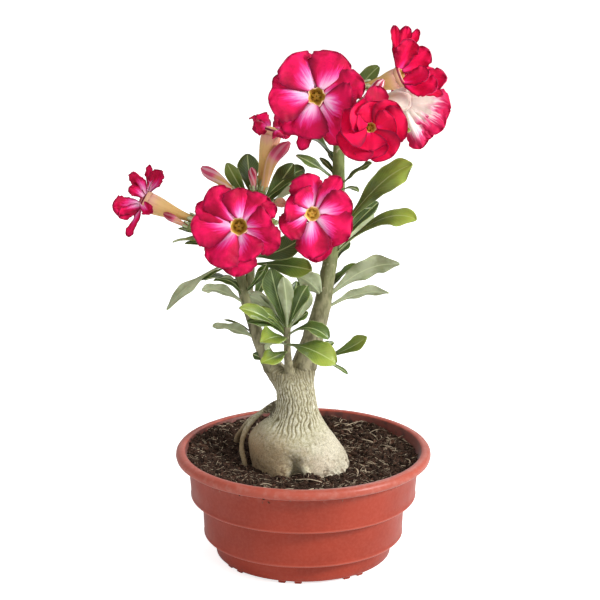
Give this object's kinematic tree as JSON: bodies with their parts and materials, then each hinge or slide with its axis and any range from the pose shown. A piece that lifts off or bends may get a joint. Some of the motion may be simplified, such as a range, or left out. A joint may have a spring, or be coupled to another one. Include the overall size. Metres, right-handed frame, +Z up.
{
  "type": "potted desert rose plant",
  "caption": "Desert rose plant with a swollen trunk, leafy stems, red and pink flowers and buds, rooted in soil in a round three-tier plastic bowl pot",
  "frame": {"origin": "centre of the pot's underside, on the surface that the pot stands on", "axes": "+Z up along the pot's axis and the plant's height, -Y towards the side that the open flowers face, +X to the right of someone who looks at the flowers"},
  "size_m": [0.2703, 0.21, 0.4413],
  "materials": {
    "pot_plastic": "satin terracotta-red",
    "soil": "rough, crumbly potting mix",
    "bark": "rough grey-beige bark",
    "leaf_and_stem": "glossy leaf green",
    "petal": "soft, velvety crimson and pink",
    "flower_tube": "waxy tan",
    "bud": "waxy pink"
  },
  "bodies": {
    "root": {"pot": "pot_plastic", "soil": "soil", "caudex": "bark", "left_stem": "leaf_and_stem", "right_stem": "leaf_and_stem", "middle_shoot": "leaf_and_stem", "bloom_upper_left_petals": "petal", "bloom_upper_left_tube": "flower_tube", "bloom_upper_right_petals": "petal", "bloom_upper_right_tube": "flower_tube", "bloom_lower_left_petals": "petal", "bloom_lower_left_tube": "flower_tube", "bloom_lower_right_petals": "petal", "bloom_lower_right_tube": "flower_tube", "bloom_far_left_petals": "petal", "bloom_far_left_tube": "flower_tube", "bloom_top_right_petals": "petal", "bloom_top_right_tube": "flower_tube", "bloom_far_right_petals": "petal", "bloom_far_right_tube": "flower_tube", "bloom_upright_petals": "petal", "bloom_upright_tube": "flower_tube", "bud_left": "bud", "bud_opening": "bud", "bud_small": "bud", "bud_low": "bud", "bud_centre": "bud", "bud_striped": "bud"}
  },
  "joints": []
}
